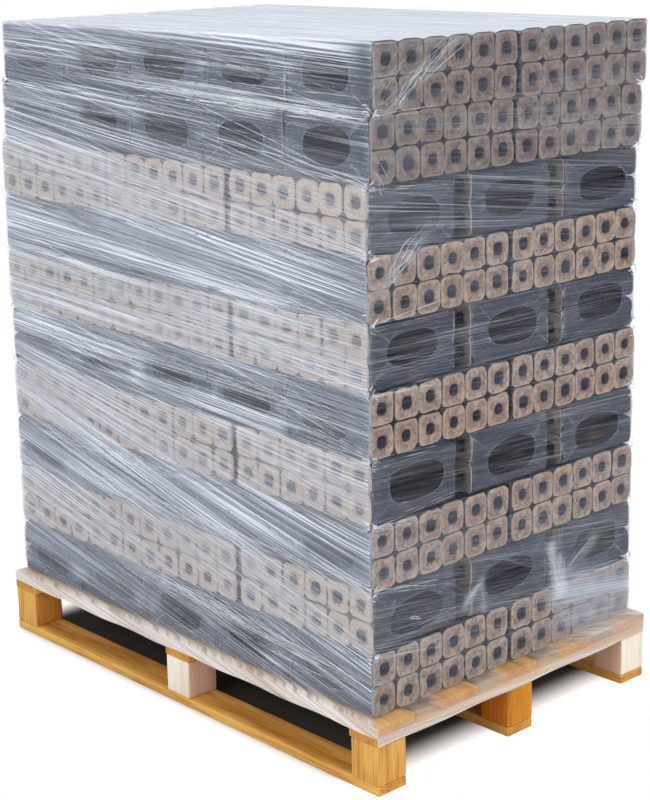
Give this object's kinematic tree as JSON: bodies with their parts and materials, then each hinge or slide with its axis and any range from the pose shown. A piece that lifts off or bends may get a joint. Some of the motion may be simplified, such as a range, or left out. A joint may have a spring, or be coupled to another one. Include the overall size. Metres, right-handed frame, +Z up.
{
  "type": "shrink wrapped pallet load of fuel briquettes",
  "caption": "Sawdust fuel briquettes in film sleeved packs, stacked crosswise in layers on a light wooden block pallet and wound with clear stretch film.",
  "frame": {"origin": "on the floor under the middle of the pallet, the bottom centre of the whole load", "axes": "+Z up; +X along the pallet's long side, the picture's right hand face looks along +X; +Y along its short side, the picture's left hand face looks along -Y"},
  "size_m": [1.2026, 0.8026, 1.4013],
  "materials": {
    "briquette": "pressed sawdust, tan ends and scorched dark sides, matte",
    "sleeve_film": "clear shrink film sleeve, slightly milky over dark sides",
    "stretch_film": "clear stretch film with fine white tension streaks",
    "pallet_timber": "rough sawn golden pine with grain and knots",
    "pale_timber": "rough sawn pale whitewood"
  },
  "bodies": {
    "root": {"bottom_board_left": "pallet_timber", "bottom_board_middle": "pallet_timber", "bottom_board_right": "pallet_timber", "block_front_left": "pale_timber", "block_front_middle": "pallet_timber", "block_front_right": "pallet_timber", "block_centre_left": "pallet_timber", "block_centre_middle": "pallet_timber", "block_centre_right": "pale_timber", "block_back_left": "pallet_timber", "block_back_middle": "pallet_timber", "block_back_right": "pallet_timber", "cross_board_front": "pallet_timber", "cross_board_centre": "pallet_timber", "cross_board_back": "pallet_timber", "deck_board_1": "pallet_timber", "deck_board_2": "pallet_timber", "deck_board_3": "pallet_timber", "deck_board_4": "pallet_timber", "deck_board_5": "pallet_timber", "briquettes_layer_01": "briquette", "briquettes_layer_02": "briquette", "briquettes_layer_03": "briquette", "briquettes_layer_04": "briquette", "briquettes_layer_05": "briquette", "briquettes_layer_06": "briquette", "briquettes_layer_07": "briquette", "briquettes_layer_08": "briquette", "briquettes_layer_09": "briquette", "briquettes_layer_10": "briquette", "pack_sleeves_layer_01": "sleeve_film", "pack_sleeves_layer_02": "sleeve_film", "pack_sleeves_layer_03": "sleeve_film", "pack_sleeves_layer_04": "sleeve_film", "pack_sleeves_layer_05": "sleeve_film", "pack_sleeves_layer_06": "sleeve_film", "pack_sleeves_layer_07": "sleeve_film", "pack_sleeves_layer_08": "sleeve_film", "pack_sleeves_layer_09": "sleeve_film", "pack_sleeves_layer_10": "sleeve_film", "stretch_wrap": "stretch_film"}
  },
  "joints": []
}
